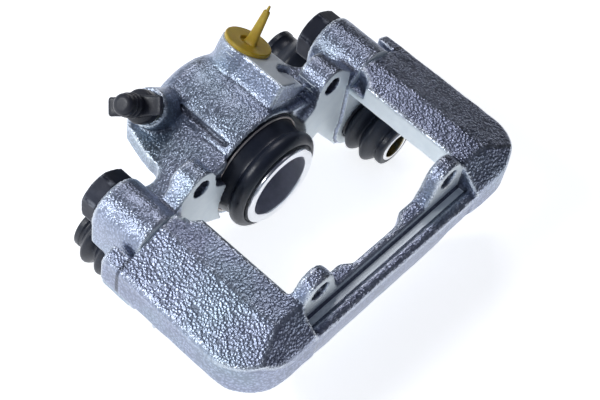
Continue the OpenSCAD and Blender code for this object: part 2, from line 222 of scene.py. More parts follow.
def neighbour_mean(values, sides):
    """For each point, the mean of the values at the other ends of its sides."""
    count = np.bincount(sides.ravel(), minlength=len(values))
    total = np.stack([np.bincount(sides[:, 0], values[sides[:, 1], k], len(values))
                      + np.bincount(sides[:, 1], values[sides[:, 0], k], len(values))
                      for k in range(values.shape[1])], axis=1)
    return total / count[:, None]


def relaxed(points, sides, share, rounds):
    """Moves each point share of the way, at most half, to the mean of its neighbours, rounds times.
    Flat faces stay flat, and each edge gets a radius that grows with the root of rounds."""
    for _ in range(rounds):
        points = points + 0.5 * share[:, None] * (neighbour_mean(points, sides) - points)
    return points


def normals_of(points, faces):
    """A point's normal is the sum of its faces' crossed diagonals, brought to length one."""
    crossed = np.cross(points[faces[:, 2]] - points[faces[:, 0]], points[faces[:, 3]] - points[faces[:, 1]])
    total = np.stack([np.bincount(faces.ravel(), np.repeat(crossed[:, k], 4), len(points)) for k in range(3)], axis=1)
    return total / np.maximum(np.linalg.norm(total, axis=1), 1e-12)[:, None]


def lumps(points, size, seed):
    """Smooth random bumps between -1 and 1: a random number at each corner of a lattice of side size,
    carried across each cell by three smooth steps."""
    table_of = np.random.default_rng(seed).uniform(-1, 1, 4096)
    place = points / size
    cell = np.floor(place).astype(int)
    along = place - cell
    along = along * along * (3 - 2 * along)
    total = np.zeros(len(points))
    for dx in (0, 1):
        for dy in (0, 1):
            for dz in (0, 1):
                key = (cell[:, 0] + dx) * 73856093 ^ (cell[:, 1] + dy) * 19349663 ^ (cell[:, 2] + dz) * 83492791
                share = (np.abs(1 - dx - along[:, 0]) * np.abs(1 - dy - along[:, 1]) * np.abs(1 - dz - along[:, 2]))
                total += share * table_of[key % 4096]
    return total


def ring_distance(points, y, z):
    """Distance of each point from a line parallel to X."""
    return np.hypot(points[:, 1] - y, points[:, 2] - z)


def step_up(values, low, high):
    """0 below low, 1 above high, and a smooth step between."""
    t = np.clip((values - low) / (high - low), 0, 1)
    return t * t * (3 - 2 * t)


def solid(name, points, faces, body, slot_name, material, stands_for=(), flat_angle=None, **marks):
    """Makes a piece of points and faces, with one number per point for each mark, and puts it on its body."""
    mesh = bpy.data.meshes.new(name)
    mesh.from_pydata(points.tolist(), [], faces if isinstance(faces, list) else faces.tolist())
    for mark, values in marks.items():
        mesh.attributes.new(mark, "FLOAT", "POINT").data.foreach_set("value", values.astype(np.float32))
    mesh.shade_smooth()
    if flat_angle:
        mesh.set_sharp_from_angle(angle=np.radians(flat_angle))
    mesh.materials.append(material)
    piece = bpy.data.objects.new(name, mesh)
    put(piece)
    if isinstance(body, str):
        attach(piece, body)
    if stands_for:
        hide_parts(*stands_for)
    return piece


def principled(name, metallic, **constants):
    """Starts a material and returns it with its tree and its surface node. Constants go on the surface itself."""
    material = bpy.data.materials.new(name)
    material.use_nodes = True
    tree = material.node_tree
    tree.nodes.clear()
    surface = add(tree, "BsdfPrincipled", {"Metallic": metallic})
    for socket, value in constants.items():
        surface.inputs[socket.replace("_", " ")].default_value = value
    add(tree, "OutputMaterial", {"Surface": surface.outputs[0]})
    return material, tree, surface


def blended(tree, share, first, second):
    """A colour between first and second; share is an output from 0 to 1."""
    return add(tree, "Mix", {0: share, 6: first, 7: second}, data_type="RGBA").outputs[2]


def sums(tree, kind, a, b=0.0):
    return add(tree, "Math", {0: a, 1: b}, operation=kind).outputs[0]


def between(tree, value, low, high, to_low=0.0, to_high=1.0):
    """Carries value from low..high to to_low..to_high, held at both ends."""
    return add(tree, "MapRange", {"Value": value, "From Min": low, "From Max": high,
                                  "To Min": to_low, "To Max": to_high}).outputs[0]


def noise(tree, where_at, scale, detail=3.0, rough=0.55, distort=0.0):
    return add(tree, "TexNoise", {"Vector": where_at, "Scale": scale, "Detail": detail, "Roughness": rough,
                                  "Distortion": distort}).outputs[0]


def dress(tree, surface, tint, gloss, *bumps):
    """Joins a colour, a roughness and a chain of bumps, each (height, strength, distance), to the surface."""
    tree.links.new(tint, surface.inputs["Base Color"])
    tree.links.new(gloss, surface.inputs["Roughness"])
    below = {}
    for height_at, strength, distance in bumps:
        bump = add(tree, "Bump", {"Height": height_at, "Strength": strength, "Distance": distance, **below})
        below = {"Normal": bump.outputs[0]}
    tree.links.new(below["Normal"], surface.inputs["Normal"])


def plated_casting(name, grain_size, grain_height, tint):
    """Zinc plate over cast iron: round grains a millimetre across with shallow valleys between them, smoother and
    brighter where a cutter went over it, and lighter where edges are rubbed. The valleys between the grains and the
    corners are painted darker as shade; the edge mark also carries painted shade in the barrel's groove and the pin
    holes, and a dark line along the bridge's joint seam."""
    material, tree, surface = principled(name, 1.0)
    own = add(tree, "TexCoord").outputs["Object"]
    machined = add(tree, "Attribute", attribute_name="machined").outputs["Fac"]
    machined = between(tree, machined, 0.45, 0.7)
    edge = add(tree, "Attribute", attribute_name="edge").outputs["Fac"]
    wander = add(tree, "TexNoise", {"Vector": own, "Scale": 0.45 / grain_size, "Detail": 2.0})
    shifted = add(tree, "VectorMath", {0: own, 1: add(tree, "VectorMath", {
        0: wander.outputs["Color"], "Scale": 0.9 * grain_size}, operation="SCALE").outputs[0]}).outputs[0]
    cells = add(tree, "TexVoronoi", {"Vector": shifted, "Scale": 1.0 / grain_size, "Smoothness": 0.35,
                                     "Randomness": 1.0}, feature="SMOOTH_F1").outputs["Distance"]
    round_grain = between(tree, cells, 0.05, 0.72, 1.0, 0.0)
    fine = noise(tree, own, 2.2 / grain_size, 4.0, 0.6)
    patchy = between(tree, noise(tree, own, 55.0, 3.0), 0.35, 0.65, 0.55, 1.0)
    grain = sums(tree, "ADD", sums(tree, "MULTIPLY", round_grain, 0.85), sums(tree, "MULTIPLY", fine, 0.22))
    height_of = sums(tree, "MULTIPLY", sums(tree, "MULTIPLY", grain, patchy),
                     between(tree, machined, 0.0, 1.0, 1.0, 0.06))
    scratch_at = add(tree, "Mapping", {"Vector": own, "Scale": (1.0, 1.0, 0.12)}).outputs[0]
    scratch = noise(tree, scratch_at, 2600.0, 2.0, 0.7)
    clouds = noise(tree, own, 38.0, 3.0, 0.5)
    warm = noise(tree, add(tree, "Mapping", {"Vector": own, "Location": (3.1, 1.7, 0.4)}).outputs[0], 24.0, 2.0)
    cast_tint = blended(tree, between(tree, clouds, 0.35, 0.65), tint, tuple(0.9 * c for c in tint[:3]) + (1,))
    cast_tint = blended(tree, between(tree, warm, 0.50, 0.68, 0.0, 0.5), cast_tint, (0.40, 0.53, 0.60, 1))
    # The valleys between the grains are painted darker: painted shade multiplied into the cast colour.
    valley_shade = between(tree, grain, 0.25, 0.80, 0.66, 1.10)
    cast_tint = add(tree, "Mix", {0: 1.0, 6: cast_tint, 7: add(tree, "CombineXYZ", {
        0: valley_shade, 1: valley_shade, 2: valley_shade}).outputs[0]}, data_type="RGBA", blend_type="MULTIPLY").outputs[2]
    cut_tint = blended(tree, between(tree, noise(tree, own, 140.0, 4.0, 0.6), 0.35, 0.7, 0.0, 0.5),
                       (0.90, 0.97, 1.0, 1), (0.74, 0.82, 0.88, 1))
    rubbed = between(tree, edge, 0.15, 0.8, 0.0, 0.8)
    rubbed = sums(tree, "MULTIPLY", rubbed, between(tree, fine, 0.38, 0.6, 0.35, 1.0))
    cast_tint = blended(tree, rubbed, cast_tint, (0.82, 0.88, 0.93, 1))
    # Below zero the edge mark paints the colour dark: painted shade in corners, the barrel's groove and the pin holes,
    # and a dark joint line along the bridge's seam.
    painted_shade_and_seam = between(tree, edge, -0.8, -0.12, 0.85, 0.0)
    cast_tint = blended(tree, painted_shade_and_seam, cast_tint, (0.10, 0.11, 0.14, 1))
    cast_rough = between(tree, fine, 0.3, 0.7, 0.42, 0.34)
    cut_rough = between(tree, scratch, 0.3, 0.7, 0.48, 0.38)
    tree.links.new(between(tree, machined, 0.0, 1.0, 1.0, 0.25), surface.inputs["Metallic"])
    final_rough = sums(tree, "ADD", sums(tree, "MULTIPLY", cast_rough, sums(tree, "SUBTRACT", 1.0, machined)),
                       sums(tree, "MULTIPLY", cut_rough, machined))
    dress(tree, surface, blended(tree, machined, cast_tint, cut_tint), final_rough,
          (height_of, 1.0, grain_height), (scratch, 0.25, 0.04 * MM))
    return material


def edge_mark(points, faces, sides, spread):
    """How far each point stands out from its neighbours along its normal: 1 on a sharp edge, -1 in a corner.
    The numbers are then averaged with their neighbours spread times."""
    normal = normals_of(points, faces)
    stand = ((points - neighbour_mean(points, sides)) * normal).sum(1)
    mark = np.clip(stand / (0.11 * MM), -1, 1)[:, None]
    for _ in range(spread):
        mark = 0.5 * mark + 0.5 * neighbour_mean(mark, sides)
    return mark[:, 0] * 1.6


points, faces = evened("cylinder_housing", 0.75 * MM)
sides = sides_of(faces)

left_low, left_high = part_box("bridge_bolt_left")
right_low, right_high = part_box("bridge_bolt_right")
bolt_y = (right_low.y + right_high.y) / 2
bolt_z = (right_low.z + right_high.z) / 2
sleeve_low, sleeve_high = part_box("guide_sleeve_right")
sleeve_y = (sleeve_low.y + sleeve_high.y) / 2
sleeve_z = (sleeve_low.z + sleeve_high.z) / 2
pins = {m["name"]: m["pos_m"] for m in frame["record"]["mounts"]}
pin_y, pin_z = pins["pad_pin_bore_right"][1:]
PIN_R = 4.5 * MM
NEAR = 0.09 * MM
joint_x = 1.5 * MM
spot_x = -24.7 * MM

hose = next(m for m in frame["record"]["mounts"] if m["name"] == "hose_port")
hose_axis = np.array(hose["axis"])
hose_side = np.cross(hose_axis, (1, 0, 0))
hose_top = 40.8 * MM
hose_x = hose["pos_m"][0]
HOSE_ASIDE = 4.5 * MM
bleed_axis = np.array(next(j for j in frame["joints"] if j["name"] == "bleed_screw_turn")["axis"])


def pin_wall(p):
    """1 on the walls of the two pin holes, drilled before plating. Taken off the edge mark, it paints the holes dark
    inside as painted shade.
    """
    return sum(ring_distance(p, side * pin_y, pin_z) < PIN_R + NEAR for side in (-1, 1)).astype(float)


def housing_cut(p):
    """1 where a cutter shaped the housing: planes and bores, each within a tenth of a millimetre."""
    cut = (np.abs(p[:, 0]) < NEAR) & (np.abs(p[:, 1]) < bolt_y - 13.7 * MM)
    cut |= p[:, 0] > joint_x - NEAR
    centre = ring_distance(p, 0, 0)
    cut |= (centre < 27.35 * MM) & (p[:, 0] > -11.2 * MM) & (p[:, 0] < 0)
    cut |= (centre < 23.5 * MM) & (p[:, 0] > -47 * MM) & (p[:, 0] < 0)
    for side in (-1, 1):
        cut |= ring_distance(p, side * pin_y, pin_z) < PIN_R + NEAR
        cut |= (ring_distance(p, side * bolt_y, bolt_z) < 7.3 * MM)
        cut |= (ring_distance(p, side * sleeve_y, sleeve_z) < 11.1 * MM)
        cut |= (np.abs(p[:, 0] - spot_x) < NEAR) & (ring_distance(p, side * bolt_y, bolt_z) < 13.2 * MM)
    up, aside = p @ hose_axis, p @ hose_side - HOSE_ASIDE
    on_block = (np.abs(aside) < 11.8 * MM) & (p[:, 0] < -4 * MM)
    cut |= on_block & (np.abs(up - hose_top) < NEAR)
    cut |= on_block & (up > 30 * MM) & (np.abs(up - (hose_top - 3.2 * MM)) < NEAR)
    cut |= (up > hose_top - 14.2 * MM) & (np.hypot(p[:, 0] - hose_x, aside) < 6.8 * MM)
    lean = np.radians(25)
    slope = (p[:, 0] + 8.5 * MM) * np.cos(lean) - (up - 32 * MM) * np.sin(lean)
    cut |= on_block & (np.abs(slope) < NEAR) & (up > 30 * MM)
    return cut.astype(float)


def barrel_groove(p):
    """1 along the bottom of the cast groove that runs down the barrel, 0 beyond its edges."""
    tilt, out = np.radians(33.5), 28.7 * MM
    away = ring_distance(p, -out * np.sin(tilt), out * np.cos(tilt))
    return (1 - step_up(away, 1.25 * MM, 1.75 * MM)) * (p[:, 0] < -9 * MM)


def foot_fillet(p):
    """1 where the hose block and the bleed boss grow out of the barrel, fading out 4 mm away."""
    shell = 1 - step_up(np.abs(ring_distance(p, 0, 0) - 29 * MM), 2.0 * MM, 4.0 * MM)
    block = (np.abs(p @ hose_side - HOSE_ASIDE) < 14 * MM) & (p @ hose_axis > 20 * MM) & (p[:, 0] < -9 * MM)
    away = np.linalg.norm(np.cross(p - (-43 * MM, 0, 0), bleed_axis), axis=1)
    boss_foot = (away < 14 * MM) & (p @ bleed_axis > 18 * MM)
    return shell * (block | boss_foot)


def swayed(points, faces, sides, share, stiff, heights, sizes, seed):
    """Moves each point along its normal by two layers of lumps, in millimetres, because a cast surface is only as
    fair as its pattern. Cut faces stay, and stiff points are then relaxed less."""
    normal = normals_of(points, faces)
    sway = sum(h * lumps(points, size * MM, seed + k) for k, (h, size) in enumerate(zip(heights, sizes)))
    return relaxed(points + normal * (share * sway * MM)[:, None], sides, share * stiff, 1)


cut = housing_cut(points)
wall = pin_wall(points)
groove = barrel_groove(points)
share = 1 - cut
foot = foot_fillet(points)
points = relaxed(points, sides, share * foot, 40)
points = relaxed(points, sides, share * (1 - 0.8 * groove), 4)
housing_rub_and_shade = edge_mark(points, faces, sides, 1)
# Corners, where the edge mark is below zero, get painted shade; it is eased on the feet of the hose block and bleed
# boss, and the barrel's groove is painted dark as shade.
housing_rub_and_shade = np.where(housing_rub_and_shade < 0, housing_rub_and_shade * (1 - 0.85 * foot), housing_rub_and_shade) - 1.6 * groove
points = swayed(points, faces, sides, share, 1 - 0.8 * groove, (0.14, 0.07), (5.5, 2.4), 11)
housing_metal = plated_casting("zinc_plated_housing", 1.00 * MM, 0.27 * MM, (0.50, 0.56, 0.71, 1))
# The pin holes' walls are taken off the edge mark and so painted dark inside as shade.
solid("housing_casting", points, faces, "caliper", "cast_housing", housing_metal,
      ["cylinder_housing"], machined=cut * (1 - wall), edge=housing_rub_and_shade - wall)

# ------------------------------------------------------------------
# Bridge: a U-shaped sand casting that straddles the disc, zinc plated like the housing, with a
# coarser skin on its two arms. The window, the ears and the channel on the bar are milled.
# ------------------------------------------------------------------

points, faces = evened("bridge_yoke", 0.8 * MM)
sides = sides_of(faces)
window_y = 50.5 * MM
seat_x, ear_x = 59.4 * MM, 67 * MM


def bridge_cut(p):
    """1 where a cutter shaped the bridge: its joint, window sides, pad seat, ear faces, channel and holes."""
    cut = np.abs(p[:, 0] - joint_x) < NEAR
    cut |= (np.abs(np.abs(p[:, 1]) - window_y) < NEAR) & (p[:, 0] < seat_x + NEAR)
    on_bar = np.abs(p[:, 1]) < window_y - NEAR
    cut |= on_bar & (np.abs(p[:, 0] - seat_x) < NEAR)
    cut |= on_bar & (np.abs(p[:, 0] - ear_x) < NEAR) & (p[:, 2] > 12 * MM)
    cut |= on_bar & (np.abs(p[:, 2] - 12.5 * MM) < NEAR) & (p[:, 0] > ear_x - NEAR) & (p[:, 0] < 72.4 * MM)
    for side in (-1, 1):
        cut |= ring_distance(p, side * pin_y, pin_z) < PIN_R + NEAR
        cut |= (ring_distance(p, side * bolt_y, bolt_z) < 7.1 * MM) & (p[:, 0] < 34 * MM)
    return cut.astype(float)


cut = bridge_cut(points)
wall = pin_wall(points)
share = 1 - cut
points = relaxed(points, sides, share, 4)
# the parting line that carries on from the joint across the outside of each arm
seam = (1 - step_up(np.abs(points[:, 0] - joint_x), 0.35 * MM, 0.8 * MM)) * (np.abs(points[:, 1]) > bolt_y + 13 * MM)
# Corners get painted shade from the edge mark, and the seam is drawn as a dark joint line.
bridge_rub_shade_and_seam = edge_mark(points, faces, sides, 1) - 1.6 * seam
points = swayed(points, faces, sides, share, 1, (0.16, 0.06), (6.5, 2.6), 21)
bridge_metal = plated_casting("zinc_plated_bridge", 1.20 * MM, 0.32 * MM, (0.44, 0.49, 0.645, 1))
# The pin holes' walls are taken off the edge mark and so painted dark inside as shade.
solid("bridge_casting", points, faces, "caliper", "cast_bridge", bridge_metal,
      ["bridge_yoke"], machined=cut * (1 - wall), edge=bridge_rub_shade_and_seam - wall)

# ------------------------------------------------------------------
# Bridge bolts: two forged hexagon bolts, black passivated, that clamp the bridge to the housing.
# The head's corners are rolled round, its end is chamfered, and it carries a thin washer face.
# ------------------------------------------------------------------


def stations(outline, count):
    """Spreads count points evenly along an open line of points, by its length."""
    outline = np.asarray(outline, float)
    run = np.concatenate([[0], np.cumsum(np.linalg.norm(np.diff(outline, axis=0), axis=1))])
    at = np.linspace(0, run[-1], count)
    return np.stack([np.interp(at, run, outline[:, 0]), np.interp(at, run, outline[:, 1])], axis=1)


def rounded(outline, radius, closed=True, steps=4):
    """Cuts each corner of a line of points with a parabola whose ends lie radius from the corner, or less than
    half of a shorter side. radius is one number or one per corner."""
    outline = np.asarray(outline, float)
    radii = np.broadcast_to(np.asarray(radius, float), len(outline))
    made = []
    for i, corner in enumerate(outline):
        if not closed and i in (0, len(outline) - 1) or radii[i] <= 0:
            made.append(corner[None])
            continue
        before, after = outline[i - 1] - corner, outline[(i + 1) % len(outline)] - corner
        reach_b = min(radii[i], 0.46 * np.linalg.norm(before))
        reach_a = min(radii[i], 0.46 * np.linalg.norm(after))
        start = corner + before / np.linalg.norm(before) * reach_b
        end = corner + after / np.linalg.norm(after) * reach_a
        t = np.linspace(0, 1, steps + 1)[:, None]
        made.append((1 - t) ** 2 * start + 2 * t * (1 - t) * corner + t ** 2 * end)
    return np.concatenate(made)


def softened(outline, rounds=2, closed=True):
    """Cuts every corner at a quarter and three quarters of its sides, rounds times, which tends to a smooth curve."""
    line = np.asarray(outline, float)
    for _ in range(rounds):
        ahead_of = np.roll(line, -1, axis=0) if closed else line[1:]
        here = line if closed else line[:-1]
        line = np.stack([0.75 * here + 0.25 * ahead_of, 0.25 * here + 0.75 * ahead_of], axis=1).reshape(-1, 2)
    return line


def frame_on(axis):
    """Two directions square to axis and to each other."""
    axis = np.asarray(axis, float)
    first = np.cross(axis, (0, 0, 1.0)) if abs(axis[2]) < 0.9 else np.cross(axis, (1.0, 0, 0))
    first /= np.linalg.norm(first)
    return first, np.cross(axis, first)


def outline_from(start, *pairs):
    """An outline given in millimetres, along the axis from start and out from the axis."""
    return np.array(pairs, float) * MM + (start, 0)


def turned(outline, base, axis=(1, 0, 0), steps=112, radius_at=None):
    """Turns an outline of (distance along the axis, radius) about the axis through base. An outline that starts
    and ends on the axis is closed there with a point; any other is a ring whose outline closes on itself.
    radius_at(angle, outline) may give other radii for each angle and outline point. Faces point outwards."""
    outline = np.asarray(outline, float)
    axis = np.asarray(axis, float)
    first, second = frame_on(axis)
    poles = outline[0, 1] < 1e-9 and outline[-1, 1] < 1e-9
    rim = outline[1:-1] if poles else outline
    angle = np.linspace(0, 2 * np.pi, steps, endpoint=False)
    radius = rim[:, 1:] * np.ones(steps)
    if radius_at:
        radius = radius_at(angle[None, :], rim[:, :1], rim[:, 1:])
    across = (np.cos(angle)[:, None] * first + np.sin(angle)[:, None] * second)[None]
    grid = np.asarray(base, float) + rim[:, 0][:, None, None] * axis + radius[..., None] * across
    rows, points = len(rim), grid.reshape(-1, 3)
    row = np.arange(rows - 1 if poles else rows)[:, None]
    col = np.arange(steps)[None, :]
    a, b = row * steps + col, row * steps + (col + 1) % steps
    c, d = ((row + 1) % rows) * steps + (col + 1) % steps, ((row + 1) % rows) * steps + col
    faces = np.stack([a, b, c, d], axis=-1).reshape(-1, 4).tolist()
    if poles:
        ends = np.asarray(base) + outline[[0, -1], 0][:, None] * axis
        n = len(points)
        points = np.concatenate([points, ends])
        last = (rows - 1) * steps
        faces += [[n, (k + 1) % steps, k] for k in range(steps)]
        faces += [[n + 1, last + k, last + (k + 1) % steps] for k in range(steps)]
    return points, facing_out(points, faces)


def facing_out(points, faces):
    """Turns all the faces over if the volume that they close comes out negative."""
    volume = 0.0
    for corners in (3, 4):
        some = np.array([f for f in faces if len(f) == corners], int)
        for k in range(1, corners - 1):
            if len(some):
                tri = points[some[:, [0, k, k + 1]]]
                volume += np.einsum("ij,ij->", tri[:, 0], np.cross(tri[:, 1], tri[:, 2])) / 6
    return faces if volume > 0 else [f[::-1] for f in faces]


def hexagon_radius(angle, flat):
    """Radius of a hexagon of half width flat at an angle, with its corners rolled by a high power mean."""
    power = 34.0
    total = sum(np.abs(np.cos(angle - k * np.pi / 3)) ** power for k in range(3))
    return flat / total ** (1 / power)


def black_bolt_material():
    """Black passivated steel: near black with a blue cast, mottled gloss, and bare metal rubbed out at the corners."""
    material, tree, surface = principled("black_passivated_steel", 0.3, Specular_IOR_Level=0.35)
    own = add(tree, "TexCoord").outputs["Object"]
    mottled = noise(tree, own, 260.0, 5.0, 0.6)
    clouds = noise(tree, own, 60.0, 2.0)
    edge = add(tree, "Attribute", attribute_name="edge").outputs["Fac"]
    dark = blended(tree, between(tree, clouds, 0.35, 0.65), (0.013, 0.016, 0.030, 1), (0.022, 0.027, 0.046, 1))
    worn = sums(tree, "MULTIPLY", between(tree, edge, 0.25, 0.9), between(tree, mottled, 0.42, 0.62))
    tint = blended(tree, sums(tree, "MULTIPLY", worn, 0.55), dark, (0.32, 0.34, 0.38, 1))
    dress(tree, surface, tint, between(tree, mottled, 0.3, 0.7, 0.40, 0.54), (mottled, 0.35, 0.06 * MM))
    return material


bolt_metal = black_bolt_material()
for side_name, low, high in (("left", left_low, left_high), ("right", right_low, right_high)):
    y, z = (low.y + high.y) / 2, (low.z + high.z) / 2
    head_x, flat = low.x, 11 * MM
    head_line = rounded(np.concatenate([
        outline_from(head_x, (0, 0), (0, 7.4), (0.15, 10.2), (1.2, 12.7)),
        outline_from(spot_x, (-0.9, 12.7), (-0.35, 12.2), (-0.3, 10.6), (0, 10.6), (0, 6.95)),
        outline_from(high.x, (-1.5, 6.95), (0, 5.6), (0, 0))]), 0.5 * MM, closed=False)
    head_line = np.concatenate([head_line[:1], stations(head_line, 90)[1:-1], head_line[-1:]])

    def head_radius(angle, along, radius, flat=flat):
        """The lesser of the turned radius and the hexagon's, on the head; the turned radius elsewhere."""
        return np.where(along < spot_x - 0.32 * MM, np.minimum(radius, hexagon_radius(angle, flat)), radius)

    bolt_points, bolt_faces = turned(head_line, (0, y, z), steps=144, radius_at=head_radius)
    wide = ring_distance(bolt_points, y, z)
    rim_at = np.abs(bolt_points[:, 0] - head_x - 0.7 * MM)
    corner = step_up(wide, flat * 1.06, flat * 1.13) + step_up(-rim_at, -0.9 * MM, 0)
    solid("bridge_bolt_" + side_name + "_forged", bolt_points, bolt_faces, "caliper", "bolt_steel", bolt_metal,
          ["bridge_bolt_" + side_name], flat_angle=38, edge=corner)

# ------------------------------------------------------------------
# Piston: a deep steel cup, ground and plated outside, with a turned rim that pushes the pad and
# a dull drawn inside. A groove behind the rim holds the boot's lip.
# ------------------------------------------------------------------


def offsets(tree, own, centre_y, centre_z):
    """The coordinate along X, and how far along Y and Z a point lies from a line parallel to X."""
    split = add(tree, "SeparateXYZ", {0: own})
    return (split.outputs["X"], sums(tree, "SUBTRACT", split.outputs["Y"], centre_y),
            sums(tree, "SUBTRACT", split.outputs["Z"], centre_z))


def lathe_rings(tree, own, centre_y, centre_z, scale, rough):
    """The coordinate along X, the distance from a line parallel to X, and noise that is the same all round it."""
    x, dy, dz = offsets(tree, own, centre_y, centre_z)
    away = sums(tree, "POWER", sums(tree, "ADD", sums(tree, "MULTIPLY", dy, dy), sums(tree, "MULTIPLY", dz, dz)), 0.5)
    rings_at = add(tree, "CombineXYZ", {0: x, 1: away, 2: 0.0}).outputs[0]
    return x, away, noise(tree, rings_at, scale, 3.0, rough)


def turned_steel(name, centre_y, centre_z, bright, dull, dull_radius, front_x, gloss, dull_gloss):
    """Turned steel: fine rings about its axis in gloss and height, with a duller skin inside dull_radius."""
    material, tree, surface = principled(name, 1.0)
    own = add(tree, "TexCoord").outputs["Object"]
    x, away, rings = lathe_rings(tree, own, centre_y, centre_z, 4200.0, 0.6)
    smear = noise(tree, own, 170.0, 4.0, 0.6)
    inside = sums(tree, "MULTIPLY", between(tree, away, dull_radius + 0.0002, dull_radius - 0.0002),
                  between(tree, x, front_x, front_x - 0.0004))
    skin = blended(tree, between(tree, smear, 0.35, 0.7), bright, tuple(0.86 * c for c in bright[:3]) + (1,))
    under = blended(tree, between(tree, smear, 0.3, 0.7), dull, tuple(0.72 * c for c in dull[:3]) + (1,))
    tree.links.new(between(tree, inside, 0.0, 1.0, 1.0, 0.45), surface.inputs["Metallic"])
    lathe_gloss = between(tree, rings, 0.3, 0.7, gloss, gloss + 0.12)
    blunt = between(tree, smear, 0.3, 0.7, dull_gloss, dull_gloss + 0.15)
    both = sums(tree, "ADD", sums(tree, "MULTIPLY", blunt, inside),
                sums(tree, "MULTIPLY", lathe_gloss, sums(tree, "SUBTRACT", 1.0, inside)))
    dress(tree, surface, blended(tree, inside, skin, under), both, (rings, 0.4, 0.03 * MM), (smear, 0.3, 0.1 * MM))
    return material


piston_low, piston_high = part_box("piston")
reach_x, back_x, piston_r = piston_high.x, piston_low.x, piston_high.y
cup_r = 15.7 * MM
cup_floor = back_x + 12 * MM
piston_line = rounded([(back_x, 0), (back_x, piston_r - 2 * MM), (back_x + 2 * MM, piston_r), (4.2 * MM, piston_r),
                       (4.8 * MM, piston_r - 1.6 * MM), (8 * MM, piston_r - 1.6 * MM), (8.6 * MM, piston_r),
                       (reach_x - 0.5 * MM, piston_r), (reach_x, piston_r - 0.5 * MM), (reach_x, cup_r + 0.7 * MM),
                       (reach_x - 0.7 * MM, cup_r), (cup_floor + 4 * MM, cup_r - 0.3 * MM),
                       (cup_floor + 0.6 * MM, cup_r - 3.4 * MM), (cup_floor, 6 * MM), (cup_floor - 0.5 * MM, 0)],
                      [0, .8 * MM, .8 * MM, .3 * MM, .4 * MM, .4 * MM, .3 * MM, .25 * MM, .25 * MM, .3 * MM, .3 * MM,
                       1.5 * MM, 1.8 * MM, 1 * MM, 0], closed=False)
piston_metal = turned_steel("ground_piston_steel", 0.0, 0.0, (0.86, 0.87, 0.90, 1), (0.44, 0.45, 0.53, 1),
                            cup_r + 0.0001, reach_x - 0.4 * MM, 0.20, 0.42)
piston_points, piston_faces = turned(piston_line, (0, 0, 0), steps=160)
solid("piston_cup", piston_points, piston_faces, "piston", "piston_steel", piston_metal, ["piston"], flat_angle=50)

# ------------------------------------------------------------------
# Piston boot: a moulded rubber dust boot. Its flange sits in the housing's mouth under a wire
# ring, its wall narrows, swells to a round bulge and turns back to a lip in the piston's groove.
# ------------------------------------------------------------------


def black_rubber(name, centre_y, centre_z, tint, gloss):
    """Moulded rubber: near black with a blue cast, a fine skin, faint streaks from the mould along its folds,
    and a little pale dust."""
    material, tree, surface = principled(name, 0.0, Specular_IOR_Level=0.55)
    own = add(tree, "TexCoord").outputs["Object"]
    skin = noise(tree, own, 900.0, 4.0, 0.6)
    clouds = noise(tree, own, 75.0, 4.0, 0.6)
    x, dy, dz = offsets(tree, own, centre_y, centre_z)
    angle = sums(tree, "ARCTAN2", dz, dy)
    streak_at = add(tree, "CombineXYZ", {0: sums(tree, "MULTIPLY", x, 60.0),
                                         1: sums(tree, "COSINE", angle), 2: sums(tree, "SINE", angle)}).outputs[0]
    streaks = noise(tree, streak_at, 14.0, 4.0, 0.6)
    pale = tuple(2.6 * c for c in tint[:3]) + (1,)
    dusty = sums(tree, "MULTIPLY", between(tree, clouds, 0.5, 0.75), between(tree, streaks, 0.45, 0.65, 0.2, 1.0))
    shine = sums(tree, "ADD", between(tree, streaks, 0.3, 0.7, gloss, gloss + 0.14),
                 between(tree, skin, 0.3, 0.7, -0.03, 0.05))
    dress(tree, surface, blended(tree, sums(tree, "MULTIPLY", dusty, 0.6), tint, pale), shine,
          (skin, 0.3, 0.05 * MM), (streaks, 0.3, 0.25 * MM))
    return material


boot_line = outline_from(
    0, (-9.5, 21.6), (-9.5, 24.2), (-9.4, 26.0), (-8.4, 26.1), (-6.9, 26.0), (-6.5, 25.4), (-6.2, 24.8), (-5.6, 24.6),
    (-4.6, 24.5), (-3.0, 24.1), (-1.2, 23.6), (0.3, 23.2), (1.4, 23.05), (2.1, 23.3), (2.7, 24.1), (3.5, 24.75),
    (4.6, 25.0), (5.9, 25.0), (7.1, 24.6), (8.1, 23.7), (8.8, 22.7), (9.15, 21.9), (9.1, 21.3), (8.7, 21.1),
    (8.1, 20.7), (7.85, 19.8), (7.8, 18.9), (7.6, 18.5), (6.4, 18.45), (5.2, 18.5), (4.9, 19.6), (4.6, 20.6),
    (3.6, 21.1), (2.0, 21.3), (0.0, 21.5), (-3.0, 21.6), (-7.0, 21.5))
boot_rubber = black_rubber("satin_boot_rubber", 0.0, 0.0, (0.016, 0.021, 0.036, 1), 0.27)
boot_points, boot_faces = turned(softened(boot_line, 2), (0, 0, 0), steps=160)
boot = solid("piston_boot_moulded", boot_points, boot_faces, None, "boot_rubber", boot_rubber, ["piston_boot"])
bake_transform(boot)

# ------------------------------------------------------------------
# Boot retaining ring: a snap ring bent from bright spring wire. It presses the boot's flange
# into its seat, and its two bent ends meet low on the left.
# ------------------------------------------------------------------


